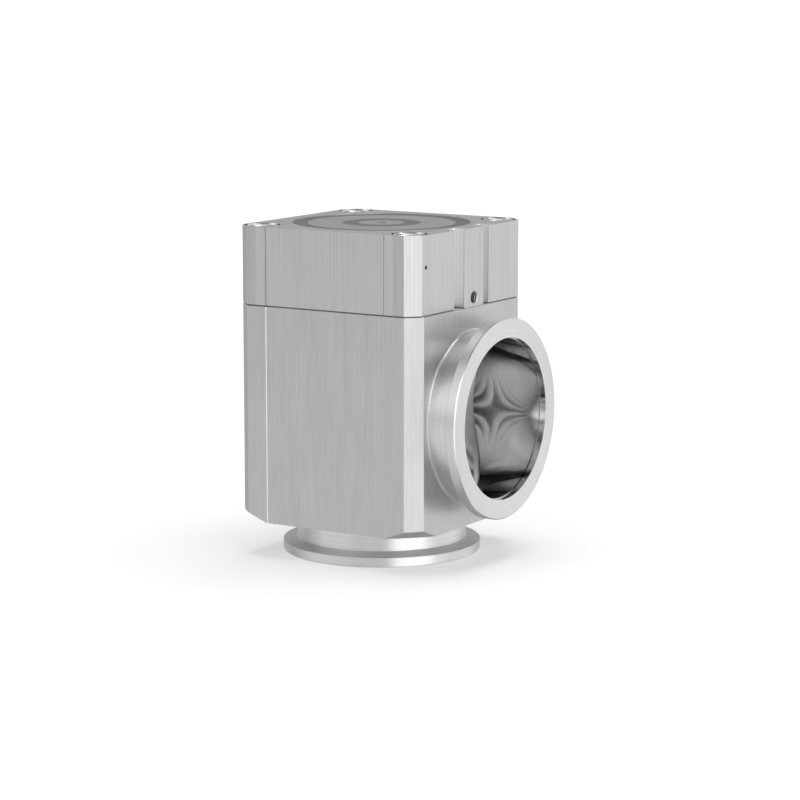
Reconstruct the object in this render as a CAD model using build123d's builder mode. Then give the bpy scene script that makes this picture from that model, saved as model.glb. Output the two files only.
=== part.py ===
from build123d import *
from math import cos, radians, sin, tan
import os

os.makedirs("parts", exist_ok=True)

# Vacuum angle valve, bellows sealed, opened by air and closed by a spring.
# All sizes are in millimetres.
# The origin is the centre of the bottom flange face. +Z runs up the bottom port's axis
# and the side port opens toward +X. The valve is modelled closed.

# Ports and clamp flanges
port_radius = 35.0
recess_depth = 3.0
recess_step = 0.4
neck_wall = 2.2
flange_lip = 6.3
flange_edge = 4.2
flange_cone_angle = 15.0
side_neck_length = 17.0
bottom_neck_length = 15.2
rim_chamfer = 0.4
neck_root_fillet = 0.8

# Seat and poppet
block_floor = 3.8
seat_height = 2.0
seat_width = 4.2
seat_seal_inset = 2.0
seat_seal_section = 2.0
seat_seal_mouth = 1.7
seat_seal_side_gap = 0.45
seat_seal_proud = 0.9
seat_gap = 0.1
poppet_rim = 1.6
poppet_thickness = 8.5
poppet_hub_radius = 9.0
poppet_hub_height = 4.0
flow_gap = 2.9

# Block
block_wall = 2.5
port_roof = 2.5
corner_cut = 6.2
corner_round = 0.4
edge_break = 0.25
ear_width = 9.8
panel_step = 0.3
corner_cone_inset = 9.0
corner_cone_angle = 33.0

# Cap screws that hold the bonnet on the block
screw_inset = 8.8
screw_radius = 4.0
screw_grip = 15.0
screw_hole_gap = 0.5
screw_head_radius = 6.5
screw_head_height = 8.0
screw_pocket_gap = 1.15
screw_head_sunk = 1.0
screw_socket_across = 6.0
screw_socket_depth = 4.0

# Bonnet and air cylinder
cylinder_radius = 37.0
cylinder_base = 2.0
spigot_length = 6.2
spigot_gap = 0.05
joint_line = 0.4
joint_relief = 0.8
boss_wall = 3.2
boss_floor = 3.4
nose_length = 14.0
nose_radius = 11.0

# Side of the bonnet over the side port: a set-back face, two grooves and a rail between them
face_set_back = 0.7
rail_width = 15.9
rail_offset = 1.45
wide_groove = 7.4
narrow_groove = 4.6
groove_depth = 5.6
groove_floor_wall = 0.6
groove_fillet = 1.2
rail_edge_round = 0.35
pilot_radius = 2.5
pilot_mouth_radius = 3.0
pilot_mouth_angle = 120.0
pilot_depth = 7.0
pilot_way_radius = 1.2
pilot_height = 1.85
pinhole_radius = 0.9
pinhole_drop = 13.7

# Piston
piston_gap = 0.1
piston_height = 8.2
piston_relief = 3.0
piston_relief_height = 4.3
piston_rest_gap = 0.4
piston_top_gap = 0.3
piston_seal_section = 1.2
piston_seal_lift = 0.7
cup_depth = 24.6
cup_floor = 4.0
cup_wall = 2.5
cup_gap = 0.8
guide_ring_height = 6.0
guide_ring_depth = 1.0
guide_ring_lift = 3.0
seal_running_gap = 0.05

# Return spring
spring_radius = 12.3
spring_wire = 1.3
spring_turns = 7
spring_side_gap = 1.4
spring_seat_thickness = 1.5
spring_seat_overhang = 0.9

# Rod, its nut, bush and seal
rod_radius = 5.0
rod_stud_radius = 4.0
rod_running_gap = 0.04
rod_socket_depth = 11.5
rod_hole_gap = 0.3
bush_wall = 2.0
bush_length = 10.4
rod_seal_height = 2.5
nut_across = 13.0
nut_height = 6.5
stud_over_nut = 1.5
poppet_screw_radius = 3.0
poppet_screw_length = 9.5
poppet_screw_head_radius = 5.0
poppet_screw_head_height = 5.0
poppet_screw_sunk = 0.5
poppet_screw_across = 5.0

# Bellows
bellows_gap = 3.5
bellows_depth = 7.5
bellows_convolutions = 11
bellows_skin = 0.7
bellows_flange_thickness = 3.5
bellows_flange_gap = 0.5
bellows_seal_radius = 29.0
bellows_seal_section = 1.0
bellows_screw_inset = 7.0
bellows_screw_count = 6
bellows_screw_radius = 2.0
bellows_screw_head_radius = 3.8
bellows_screw_length = 8.0
bellows_screw_across = 2.5
foot_height = 2.5
foot_rim = 1.0

# Bonnet seal
bonnet_seal_section = 1.03
bonnet_seal_drop = 2.9

# End cover, retaining ring, label and vent
cover_rim = 3.0
cover_ledge = 1.7
cover_gap = 0.1
ring_thickness = 1.5
ring_bite = 1.1
ring_width = 4.1
ring_gap_angle = 18.0
ring_lug_radius = 2.6
ring_lug_hole = 1.0
ring_lip = 1.3
label_recess = 0.3
label_thickness = 0.5
label_gap = 0.15
label_hole_radius = 2.35
cover_boss_radius = 8.9
vent_radius = 1.5
vent_filter_depth = 1.2

# Radii that follow
neck_radius = port_radius + neck_wall
flange_radius = neck_radius + flange_lip
seat_seal_radius = port_radius + seat_seal_inset
seat_radius = port_radius + seat_width
poppet_radius = seat_seal_radius + seat_seal_section + poppet_rim
main_bore_radius = poppet_radius + flow_gap
cover_recess_radius = cylinder_radius + cover_ledge
ring_groove_radius = cover_recess_radius + ring_bite
# The block is as wide as the main bore's wall and the grooved cylinder wall both need
grooved_half = ring_groove_radius + groove_floor_wall + groove_depth
block_half = max(main_bore_radius + block_wall, grooved_half)
panel_half = block_half - corner_cut - ear_width
rail_low = rail_offset - rail_width / 2
rail_high = rail_offset + rail_width / 2
corner_cone_radius = block_half + corner_cone_inset
screw_offset = block_half - screw_inset
screw_pocket_radius = screw_head_radius + screw_pocket_gap
spigot_radius = main_bore_radius - spigot_gap
cup_bore = spring_radius + spring_wire + spring_side_gap
cup_radius = cup_bore + cup_wall
pocket_radius = cup_radius + cup_gap
boss_radius = pocket_radius + boss_wall
bellows_inner = boss_radius + bellows_gap
bellows_outer = bellows_inner + bellows_depth
bellows_screw_circle = main_bore_radius - bellows_screw_inset
bush_radius = rod_radius + bush_wall

# Levels that follow, from the bottom flange face up
side_port_x = block_half + side_neck_length
side_port_z = side_port_x
block_bottom = bottom_neck_length
main_floor = block_bottom + block_floor
seat_z = main_floor + seat_height
block_top = side_port_z + port_radius + port_roof + bellows_flange_thickness + spigot_length
stroke = port_radius / 2
poppet_bottom = seat_z + seat_gap + seat_seal_proud
poppet_top = poppet_bottom + poppet_thickness
hub_top = poppet_top + poppet_hub_height
foot_top = poppet_top + foot_height
spigot_bottom = block_top - spigot_length
bellows_top = spigot_bottom - bellows_flange_thickness
cylinder_floor = block_top + cylinder_base
piston_bottom = cylinder_floor + piston_rest_gap
piston_top = piston_bottom + piston_height
cup_bottom = piston_bottom - cup_depth
cup_seat = cup_bottom + cup_floor
pocket_floor = cup_bottom - cup_gap
boss_bottom = pocket_floor - boss_floor
nose_bottom = boss_bottom - nose_length
cover_bottom = piston_top + stroke + piston_top_gap
ring_bottom = cover_bottom + cover_rim
ring_top = ring_bottom + ring_thickness
bonnet_top = ring_top + ring_lip
label_top = bonnet_top - label_recess
label_bottom = label_top - label_thickness
screw_pocket_floor = bonnet_top - screw_head_height - screw_head_sunk
spring_top = cover_bottom - spring_seat_thickness

screw_places = [
    (screw_offset, -screw_offset),
    (screw_offset, screw_offset),
    (-screw_offset, screw_offset),
    (-screw_offset, -screw_offset),
]


def face_from(points):
    """Closed outline through the points, filled as a face."""
    with BuildLine() as outline:
        Polyline(*points, close=True)
    make_face(outline.edges())


def flange_profile(neck_length):
    """Half section of a neck with its clamp flange, as (radius, distance from the face)."""
    cone_rise = flange_lip * tan(radians(flange_cone_angle))
    return [
        (0, 0),
        (flange_radius - rim_chamfer, 0),
        (flange_radius, rim_chamfer),
        (flange_radius, flange_edge),
        (neck_radius, flange_edge + cone_rise),
        (neck_radius, neck_length),
        (0, neck_length),
    ]


def bore_profile(depth):
    """Half section of a port bore with the centring ring's recess, as (radius, distance from the face)."""
    bore_radius = port_radius - recess_step
    return [
        (0, 0),
        (port_radius, 0),
        (port_radius, recess_depth),
        (bore_radius, recess_depth),
        (bore_radius, depth),
        (0, depth),
    ]


def toward_side(points):
    """The same section turned to face the side port."""
    return [(side_port_x - along, side_port_z + radius) for radius, along in points]


def square_outline(panels, shrink=0.0):
    """Square with cut corners and a shallow set-back panel on some sides, from +Y round to -Y."""
    Rectangle(2 * (block_half - shrink), 2 * (block_half - shrink))
    chamfer(vertices(), corner_cut)
    fillet(vertices(), corner_round)
    with PolarLocations(block_half - shrink - panel_step / 2, panels, 90, 90 * panels):
        Trapezoid(2 * panel_half, panel_step, 45, rotation=90, mode=Mode.SUBTRACT)


def bonnet_side(shrink=0.0):
    """Takes the set-back face and the two grooves off the outline's +X side."""
    face = block_half - shrink
    with Locations((face, -block_half)):
        Rectangle(
            2 * (face_set_back - shrink / 2),
            2 * (block_half + rail_low - wide_groove),
            mode=Mode.SUBTRACT,
        )
    with Locations((face, rail_low - wide_groove / 2)):
        Rectangle(2 * (groove_depth - shrink), wide_groove, mode=Mode.SUBTRACT)
    with Locations((face, rail_high + narrow_groove / 2)):
        Rectangle(2 * (groove_depth - shrink), narrow_groove, mode=Mode.SUBTRACT)
    floors = vertices().filter_by_position(
        Axis.X, block_half - groove_depth - 0.01, block_half - groove_depth + 0.01
    )
    fillet(floors, groove_fillet)


# Block with both necks and clamp flanges, turned and bored from one piece
with BuildPart() as body:
    with BuildSketch(Plane.XY.offset(block_bottom)):
        square_outline(3)
    extrude(amount=block_top - block_bottom)
    top_edges = edges().filter_by_position(Axis.Z, block_top - 0.01, block_top + 0.01)
    chamfer(top_edges, edge_break)
    # The turned cone takes the four lower corners away
    cone_reach = 2 * block_half
    cone_top = block_bottom + (cone_reach - corner_cone_radius) * tan(radians(corner_cone_angle))
    with BuildSketch(Plane.XZ):
        face_from([
            (corner_cone_radius, block_bottom),
            (cone_reach, block_bottom),
            (cone_reach, cone_top),
        ])
    revolve(axis=Axis.Z, mode=Mode.SUBTRACT)
    with BuildSketch(Plane.XZ):
        face_from(flange_profile(bottom_neck_length))
    revolve(axis=Axis.Z)
    with BuildSketch(Plane.XZ):
        face_from(toward_side(flange_profile(side_neck_length)))
    revolve(axis=Axis((0, 0, side_port_z), (1, 0, 0)))
    root_edges = edges().filter_by(GeomType.CIRCLE)
    side_root = root_edges.filter_by_position(Axis.X, block_half - 0.01, block_half + 0.01)
    side_root = side_root.filter_by(lambda edge: abs(edge.radius - neck_radius) < 0.01)
    bottom_root = root_edges.filter_by_position(Axis.Z, block_bottom - 0.01, block_bottom + 0.01)
    bottom_root = bottom_root.filter_by(lambda edge: abs(edge.radius - neck_radius) < 0.01)
    fillet(side_root + bottom_root, neck_root_fillet)
    # Main bore, which leaves the raised seat standing round the bottom port
    with BuildSketch(Plane.XZ):
        face_from([
            (0, seat_z),
            (seat_radius, seat_z),
            (seat_radius, main_floor),
            (main_bore_radius, main_floor),
            (main_bore_radius, block_top),
            (0, block_top),
        ])
    revolve(axis=Axis.Z, mode=Mode.SUBTRACT)
    with BuildSketch(Plane.XZ):
        face_from(bore_profile(seat_z))
    revolve(axis=Axis.Z, mode=Mode.SUBTRACT)
    with BuildSketch(Plane.XZ):
        face_from(toward_side(bore_profile(side_port_x)))
    revolve(axis=Axis((0, 0, side_port_z), (1, 0, 0)), mode=Mode.SUBTRACT)
    with Locations(*[(x, y, block_top) for x, y in screw_places]):
        Hole(screw_radius, screw_grip + 1)
body.part.label = "body"
export_step(body.part, "parts/body.step")

# Bonnet: the air cylinder, its spigot in the main bore and the boss that hangs inside the bellows
with BuildPart() as bonnet:
    with BuildSketch(Plane.XY.offset(block_top)):
        square_outline(3, joint_relief)
        bonnet_side(joint_relief)
        with Locations((block_half - groove_depth / 2, rail_offset)):
            Rectangle(groove_depth, rail_width)
        fillet(vertices().filter_by_position(Axis.X, block_half - 0.01, block_half + 0.01), rail_edge_round)
    extrude(amount=joint_line)
    with BuildSketch(Plane.XY.offset(block_top + joint_line)):
        square_outline(3)
        bonnet_side()
        groove_mouths = vertices().filter_by_position(
            Axis.X, block_half - face_set_back - 0.01, block_half + 0.01
        ).filter_by_position(
            Axis.Y, rail_low - wide_groove - 0.01, rail_high + narrow_groove + 0.01
        )
        fillet(groove_mouths, rail_edge_round)
    extrude(amount=bonnet_top - block_top - joint_line)
    top_edges = edges().filter_by_position(Axis.Z, bonnet_top - 0.01, bonnet_top + 0.01)
    chamfer(top_edges, edge_break)
    with BuildSketch(Plane.XZ):
        face_from([
            (0, nose_bottom),
            (nose_radius, nose_bottom),
            (nose_radius, boss_bottom),
            (boss_radius, boss_bottom),
            (boss_radius, spigot_bottom),
            (spigot_radius, spigot_bottom),
            (spigot_radius, block_top),
            (0, block_top),
        ])
    revolve(axis=Axis.Z)
    # Cylinder bore, the ledge and ring groove for the end cover, and the pocket for the piston's cup
    with BuildSketch(Plane.XZ):
        face_from([
            (0, pocket_floor),
            (pocket_radius, pocket_floor),
            (pocket_radius, cylinder_floor),
            (cylinder_radius, cylinder_floor),
            (cylinder_radius, cover_bottom),
            (cover_recess_radius, cover_bottom),
            (cover_recess_radius, ring_bottom),
            (ring_groove_radius, ring_bottom),
            (ring_groove_radius, ring_top),
            (cover_recess_radius, ring_top),
            (cover_recess_radius, bonnet_top),
            (0, bonnet_top),
        ])
    revolve(axis=Axis.Z, mode=Mode.SUBTRACT)
    # Rod hole, stepped for the seal and the bush below it
    seal_pocket_top = nose_bottom + bush_length + rod_seal_height
    with BuildSketch(Plane.XZ):
        face_from([
            (0, nose_bottom),
            (bush_radius, nose_bottom),
            (bush_radius, seal_pocket_top),
            (rod_radius + rod_hole_gap, seal_pocket_top),
            (rod_radius + rod_hole_gap, pocket_floor),
            (0, pocket_floor),
        ])
    revolve(axis=Axis.Z, mode=Mode.SUBTRACT)
    # Groove for the bonnet seal round the spigot
    bonnet_seal_z = block_top - bonnet_seal_drop
    with BuildSketch(Plane.XZ):
        with Locations((spigot_radius, bonnet_seal_z)):
            Rectangle(4 * bonnet_seal_section - 2 * spigot_gap, 2.4 * bonnet_seal_section)
    revolve(axis=Axis.Z, mode=Mode.SUBTRACT)
    # Face groove for the bellows flange seal
    with BuildSketch(Plane.XZ):
        with Locations((bellows_seal_radius, spigot_bottom)):
            Rectangle(2.2 * bellows_seal_section, 4 * bellows_seal_section)
    revolve(axis=Axis.Z, mode=Mode.SUBTRACT)
    with Locations(Plane(origin=(0, 0, spigot_bottom), z_dir=(0, 0, -1))):
        with PolarLocations(bellows_screw_circle, bellows_screw_count):
            Hole(bellows_screw_radius, bellows_screw_length - bellows_flange_thickness + 1)
    with Locations(*[(x, y, bonnet_top) for x, y in screw_places]):
        CounterBoreHole(
            screw_radius + screw_hole_gap,
            screw_pocket_radius,
            bonnet_top - screw_pocket_floor,
            depth=bonnet_top - spigot_bottom,
        )
    # Pilot port in the rail with a narrow way into the cylinder, and the pinhole into the front screw's hole
    pilot_z = cylinder_floor + pilot_height
    pilot_plane = Plane(origin=(block_half, rail_offset, pilot_z), x_dir=(0, 1, 0), z_dir=(1, 0, 0))
    with Locations(pilot_plane):
        CounterSinkHole(
            pilot_radius, pilot_mouth_radius, depth=pilot_depth, counter_sink_angle=pilot_mouth_angle
        )
        Hole(pilot_way_radius, block_half / 2)
    pinhole_plane = Plane(
        origin=(block_half, -screw_offset, bonnet_top - pinhole_drop), x_dir=(0, 1, 0), z_dir=(1, 0, 0)
    )
    with Locations(pinhole_plane):
        Hole(pinhole_radius, screw_inset)
bonnet.part.label = "bonnet"
export_step(bonnet.part, "parts/bonnet.step")

# Four cap screws in the bonnet's corners
for number, (x, y) in enumerate(screw_places, 1):
    with BuildPart() as cap_screw:
        with BuildSketch(Plane.XY.offset(screw_pocket_floor)):
            with Locations((x, y)):
                Circle(screw_head_radius)
        extrude(amount=screw_head_height)
        head_rim = edges().filter_by(GeomType.CIRCLE).sort_by(Axis.Z)[-1]
        fillet(head_rim, screw_head_height / 10)
        with BuildSketch(Plane.XY.offset(screw_pocket_floor + screw_head_height)):
            with Locations((x, y)):
                RegularPolygon(screw_socket_across / 2, 6, major_radius=False)
        extrude(amount=-screw_socket_depth, mode=Mode.SUBTRACT)
        with BuildSketch(Plane.XY.offset(screw_pocket_floor)):
            with Locations((x, y)):
                Circle(screw_radius)
        extrude(amount=block_top - screw_grip - screw_pocket_floor)
    cap_screw.part.label = f"cap_screw_{number}"
    export_step(cap_screw.part, f"parts/cap_screw_{number}.step")

# O-ring between the spigot and the main bore
with BuildPart() as bonnet_seal:
    with BuildSketch(Plane.XZ):
        with Locations((main_bore_radius - bonnet_seal_section, bonnet_seal_z)):
            Circle(bonnet_seal_section)
    revolve(axis=Axis.Z)
bonnet_seal.part.label = "bonnet_seal"
export_step(bonnet_seal.part, "parts/bonnet_seal.step")

# Poppet: the valve disc, with a dovetail groove for its seal and a hub for the rod
seat_seal_z = seat_z + seat_gap + seat_seal_section
with BuildPart() as poppet:
    screw_seat = poppet_bottom + poppet_screw_sunk + poppet_screw_head_height
    with BuildSketch(Plane.XZ):
        face_from([
            (0, poppet_bottom),
            (poppet_radius - poppet_rim / 2, poppet_bottom),
            (poppet_radius, poppet_bottom + poppet_rim / 2),
            (poppet_radius, poppet_top - poppet_rim / 2),
            (poppet_radius - poppet_rim / 2, poppet_top),
            (poppet_hub_radius, poppet_top),
            (poppet_hub_radius, hub_top),
            (0, hub_top),
        ])
    revolve(axis=Axis.Z)
    groove_top = seat_seal_z + seat_seal_section
    groove_half = seat_seal_section + seat_seal_side_gap
    with BuildSketch(Plane.XZ):
        face_from([
            (seat_seal_radius - seat_seal_mouth, poppet_bottom),
            (seat_seal_radius + seat_seal_mouth, poppet_bottom),
            (seat_seal_radius + groove_half, seat_seal_z),
            (seat_seal_radius + groove_half, groove_top),
            (seat_seal_radius - groove_half, groove_top),
            (seat_seal_radius - groove_half, seat_seal_z),
        ])
    revolve(axis=Axis.Z, mode=Mode.SUBTRACT)
    with BuildSketch(Plane.XZ):
        face_from([
            (0, poppet_bottom),
            (poppet_screw_head_radius + rod_hole_gap, poppet_bottom),
            (poppet_screw_head_radius + rod_hole_gap, screw_seat),
            (poppet_screw_radius + rod_hole_gap, screw_seat),
            (poppet_screw_radius + rod_hole_gap, poppet_top),
            (rod_radius, poppet_top),
            (rod_radius, hub_top),
            (0, hub_top),
        ])
    revolve(axis=Axis.Z, mode=Mode.SUBTRACT)
poppet.part.label = "poppet"
export_step(poppet.part, "parts/poppet.step")

# O-ring that closes on the seat
with BuildPart() as seat_seal:
    with BuildSketch(Plane.XZ):
        with Locations((seat_seal_radius, seat_seal_z)):
            Circle(seat_seal_section)
    revolve(axis=Axis.Z)
seat_seal.part.label = "seat_seal"
export_step(seat_seal.part, "parts/seat_seal.step")

# Screw that pulls the poppet up against the rod
with BuildPart() as poppet_screw:
    head_bottom = screw_seat - poppet_screw_head_height
    with BuildSketch(Plane.XZ):
        face_from([
            (0, head_bottom),
            (poppet_screw_head_radius, head_bottom),
            (poppet_screw_head_radius, screw_seat),
            (poppet_screw_radius, screw_seat),
            (poppet_screw_radius, poppet_top + poppet_screw_length),
            (0, poppet_top + poppet_screw_length),
        ])
    revolve(axis=Axis.Z)
    with BuildSketch(Plane.XY.offset(head_bottom)):
        RegularPolygon(poppet_screw_across / 2, 6, major_radius=False)
    extrude(amount=poppet_screw_head_height / 2, mode=Mode.SUBTRACT)
poppet_screw.part.label = "poppet_screw"
export_step(poppet_screw.part, "parts/poppet_screw.step")

# Rod, with a stud for the nut above and a tapped end below
with BuildPart() as rod:
    with BuildSketch(Plane.XZ):
        face_from([
            (0, poppet_top + rod_socket_depth),
            (poppet_screw_radius, poppet_top + rod_socket_depth),
            (poppet_screw_radius, poppet_top),
            (rod_radius, poppet_top),
            (rod_radius, cup_bottom),
            (rod_stud_radius, cup_bottom),
            (rod_stud_radius, cup_seat + nut_height + stud_over_nut),
            (0, cup_seat + nut_height + stud_over_nut),
        ])
    revolve(axis=Axis.Z)
rod.part.label = "rod"
export_step(rod.part, "parts/rod.step")

# Bush that guides the rod in the bonnet's nose
with BuildPart() as rod_bush:
    with BuildSketch(Plane.XY.offset(nose_bottom)):
        Circle(bush_radius)
        Circle(rod_radius + rod_running_gap, mode=Mode.SUBTRACT)
    extrude(amount=bush_length)
rod_bush.part.label = "rod_bush"
export_step(rod_bush.part, "parts/rod_bush.step")

# Rod seal above the bush
with BuildPart() as rod_seal:
    with BuildSketch(Plane.XY.offset(nose_bottom + bush_length)):
        Circle(bush_radius)
        Circle(rod_radius + seal_running_gap, mode=Mode.SUBTRACT)
    extrude(amount=rod_seal_height)
rod_seal.part.label = "rod_seal"
export_step(rod_seal.part, "parts/rod_seal.step")

# Piston with its deep cup, the seal groove in the rim and the guide ring groove round the cup
piston_radius = cylinder_radius - piston_gap
piston_seal_z = piston_bottom + piston_relief_height + piston_seal_lift + piston_seal_section
piston_seal_depth = 2 * piston_seal_section + seal_running_gap - piston_gap
guide_ring_z = cup_bottom + guide_ring_lift
with BuildPart() as piston:
    with BuildSketch(Plane.XZ):
        face_from([
            (rod_stud_radius, cup_bottom),
            (cup_radius, cup_bottom),
            (cup_radius, piston_bottom),
            (piston_radius - piston_relief, piston_bottom),
            (piston_radius - piston_relief, piston_bottom + piston_relief_height),
            (piston_radius, piston_bottom + piston_relief_height),
            (piston_radius, piston_top),
            (cup_bore, piston_top),
            (cup_bore, cup_seat),
            (rod_stud_radius, cup_seat),
        ])
    revolve(axis=Axis.Z)
    with BuildSketch(Plane.XZ):
        with Locations((piston_radius, piston_seal_z)):
            Rectangle(2 * piston_seal_depth, 2 * piston_seal_section)
        with Locations((cup_radius, guide_ring_z + guide_ring_height / 2)):
            Rectangle(2 * guide_ring_depth, guide_ring_height)
    revolve(axis=Axis.Z, mode=Mode.SUBTRACT)
piston.part.label = "piston"
export_step(piston.part, "parts/piston.step")

# O-ring in the piston's rim
with BuildPart() as piston_seal:
    with BuildSketch(Plane.XZ):
        with Locations((cylinder_radius - seal_running_gap - piston_seal_section, piston_seal_z)):
            Circle(piston_seal_section)
    revolve(axis=Axis.Z)
piston_seal.part.label = "piston_seal"
export_step(piston_seal.part, "parts/piston_seal.step")

# Guide ring that runs in the bonnet's pocket
with BuildPart() as guide_ring:
    with BuildSketch(Plane.XY.offset(guide_ring_z)):
        Circle(pocket_radius - seal_running_gap)
        Circle(cup_radius - guide_ring_depth, mode=Mode.SUBTRACT)
    extrude(amount=guide_ring_height)
guide_ring.part.label = "guide_ring"
export_step(guide_ring.part, "parts/guide_ring.step")

# Nut that clamps the piston on the rod
with BuildPart() as rod_nut:
    with BuildSketch(Plane.XY.offset(cup_seat)):
        RegularPolygon(nut_across / 2, 6, major_radius=False)
        Circle(rod_stud_radius, mode=Mode.SUBTRACT)
    extrude(amount=nut_height)
rod_nut.part.label = "rod_nut"
export_step(rod_nut.part, "parts/rod_nut.step")

# Return spring: a helix with both end coils ground flat
with BuildPart() as return_spring:
    spring_pitch = (spring_top - cup_seat) / spring_turns
    with BuildLine() as coil:
        Helix(spring_pitch, spring_top - cup_seat, spring_radius, center=(0, 0, cup_seat))
    with BuildSketch(Plane(origin=coil.line @ 0, z_dir=coil.line % 0)):
        Circle(spring_wire)
    sweep()
    split(bisect_by=Plane.XY.offset(cup_seat), keep=Keep.TOP)
    split(bisect_by=Plane.XY.offset(spring_top), keep=Keep.BOTTOM)
return_spring.part.label = "return_spring"
export_step(return_spring.part, "parts/return_spring.step")

# Washer that seats the spring under the end cover
with BuildPart() as spring_seat:
    with BuildSketch(Plane.XY.offset(spring_top)):
        Circle(spring_radius + spring_wire + spring_seat_overhang)
        Circle(cover_boss_radius, mode=Mode.SUBTRACT)
    extrude(amount=spring_seat_thickness)
spring_seat.part.label = "spring_seat"
export_step(spring_seat.part, "parts/spring_seat.step")

# Bellows: thin conical plates welded in a zigzag
with BuildPart() as bellows:
    half_pitch = (bellows_top - foot_top) / (2 * bellows_convolutions)
    folds = [
        (bellows_outer if fold % 2 else bellows_inner, foot_top + fold * half_pitch)
        for fold in range(2 * bellows_convolutions + 1)
    ]
    with BuildSketch(Plane.XZ):
        outside = [(radius + bellows_skin, z) for radius, z in folds]
        inside = [(radius - bellows_skin, z) for radius, z in reversed(folds)]
        face_from(outside + inside)
    revolve(axis=Axis.Z)
bellows.part.label = "bellows"
export_step(bellows.part, "parts/bellows.step")

# Foot ring that carries the bellows on the poppet
with BuildPart() as bellows_foot:
    with BuildSketch(Plane.XY.offset(poppet_top)):
        Circle(bellows_outer + foot_rim)
        Circle(bellows_inner - bellows_skin - foot_rim, mode=Mode.SUBTRACT)
    extrude(amount=foot_height)
bellows_foot.part.label = "bellows_foot"
export_step(bellows_foot.part, "parts/bellows_foot.step")

# Flange that clamps the bellows under the spigot
with BuildPart() as bellows_flange:
    with BuildSketch(Plane.XY.offset(bellows_top)):
        Circle(spigot_radius)
        Circle(boss_radius + bellows_flange_gap, mode=Mode.SUBTRACT)
    extrude(amount=bellows_flange_thickness)
    with Locations(Plane(origin=(0, 0, bellows_top), z_dir=(0, 0, -1))):
        with PolarLocations(bellows_screw_circle, bellows_screw_count):
            CounterSinkHole(bellows_screw_radius, bellows_screw_head_radius)
bellows_flange.part.label = "bellows_flange"
export_step(bellows_flange.part, "parts/bellows_flange.step")

# O-ring between the bellows flange and the bonnet
with BuildPart() as bellows_seal:
    with BuildSketch(Plane.XZ):
        with Locations((bellows_seal_radius, spigot_bottom + bellows_seal_section)):
            Circle(bellows_seal_section)
    revolve(axis=Axis.Z)
bellows_seal.part.label = "bellows_seal"
export_step(bellows_seal.part, "parts/bellows_seal.step")

# Countersunk screws of the bellows flange
head_depth = bellows_screw_head_radius - bellows_screw_radius
for number in range(1, bellows_screw_count + 1):
    turn = radians(360 / bellows_screw_count * number)
    place = (bellows_screw_circle * cos(turn), bellows_screw_circle * sin(turn))
    with BuildPart() as bellows_screw:
        with BuildSketch(Plane.XY.offset(bellows_top)):
            with Locations(place):
                Circle(bellows_screw_radius)
        extrude(amount=bellows_screw_length)
        with BuildSketch(Plane.XY.offset(bellows_top)):
            with Locations(place):
                Circle(bellows_screw_head_radius)
        extrude(amount=head_depth, taper=45)
        with BuildSketch(Plane.XY.offset(bellows_top)):
            with Locations(place):
                RegularPolygon(bellows_screw_across / 2, 6, major_radius=False)
        extrude(amount=head_depth, mode=Mode.SUBTRACT)
    bellows_screw.part.label = f"bellows_screw_{number}"
    export_step(bellows_screw.part, f"parts/bellows_screw_{number}.step")

# End cover of the cylinder, with a boss that centres the spring seat
with BuildPart() as end_cover:
    cover_radius = cover_recess_radius - cover_gap
    crown_radius = ring_groove_radius - ring_width - 2 * ring_lug_radius
    with BuildSketch(Plane.XZ):
        face_from([
            (vent_radius, spring_top),
            (cover_boss_radius, spring_top),
            (cover_boss_radius, cover_bottom),
            (cover_radius, cover_bottom),
            (cover_radius, ring_bottom),
            (crown_radius, ring_bottom),
            (crown_radius, label_bottom),
            (label_hole_radius, label_bottom),
            (label_hole_radius, label_bottom - vent_filter_depth),
            (vent_radius, label_bottom - vent_filter_depth),
        ])
    revolve(axis=Axis.Z)
end_cover.part.label = "end_cover"
export_step(end_cover.part, "parts/end_cover.step")

# Retaining ring, sprung open in its groove, with a lug at each end
with BuildPart() as retaining_ring:
    ring_inner = ring_groove_radius - ring_width
    with BuildSketch(Plane.XY.offset(ring_bottom)):
        Circle(ring_groove_radius)
        Circle(ring_inner, mode=Mode.SUBTRACT)
        with PolarLocations(ring_inner, 1, 180):
            Rectangle(4 * ring_width, 2 * ring_inner * tan(radians(ring_gap_angle / 2)), mode=Mode.SUBTRACT)
        lug_angle = ring_gap_angle / 2 + 4.5
        with PolarLocations(ring_inner, 2, 180 - lug_angle, 4 * lug_angle):
            Circle(ring_lug_radius)
            Circle(ring_lug_hole, mode=Mode.SUBTRACT)
    extrude(amount=ring_thickness)
retaining_ring.part.label = "retaining_ring"
export_step(retaining_ring.part, "parts/retaining_ring.step")

# Round label plate in the top recess
with BuildPart() as top_label:
    with BuildSketch(Plane.XY.offset(label_bottom)):
        Circle(cover_recess_radius - label_gap)
        Circle(label_hole_radius, mode=Mode.SUBTRACT)
    extrude(amount=label_thickness)
top_label.part.label = "top_label"
export_step(top_label.part, "parts/top_label.step")

# Sintered filter in the spring chamber's vent
with BuildPart() as vent_filter:
    with BuildSketch(Plane.XY.offset(label_bottom - vent_filter_depth)):
        Circle(label_hole_radius)
    extrude(amount=vent_filter_depth)
vent_filter.part.label = "vent_filter"
export_step(vent_filter.part, "parts/vent_filter.step")
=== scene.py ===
"""Vacuum angle valve: finishes, the pieces that need a mesh of their own, and the studio."""

import math

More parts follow.
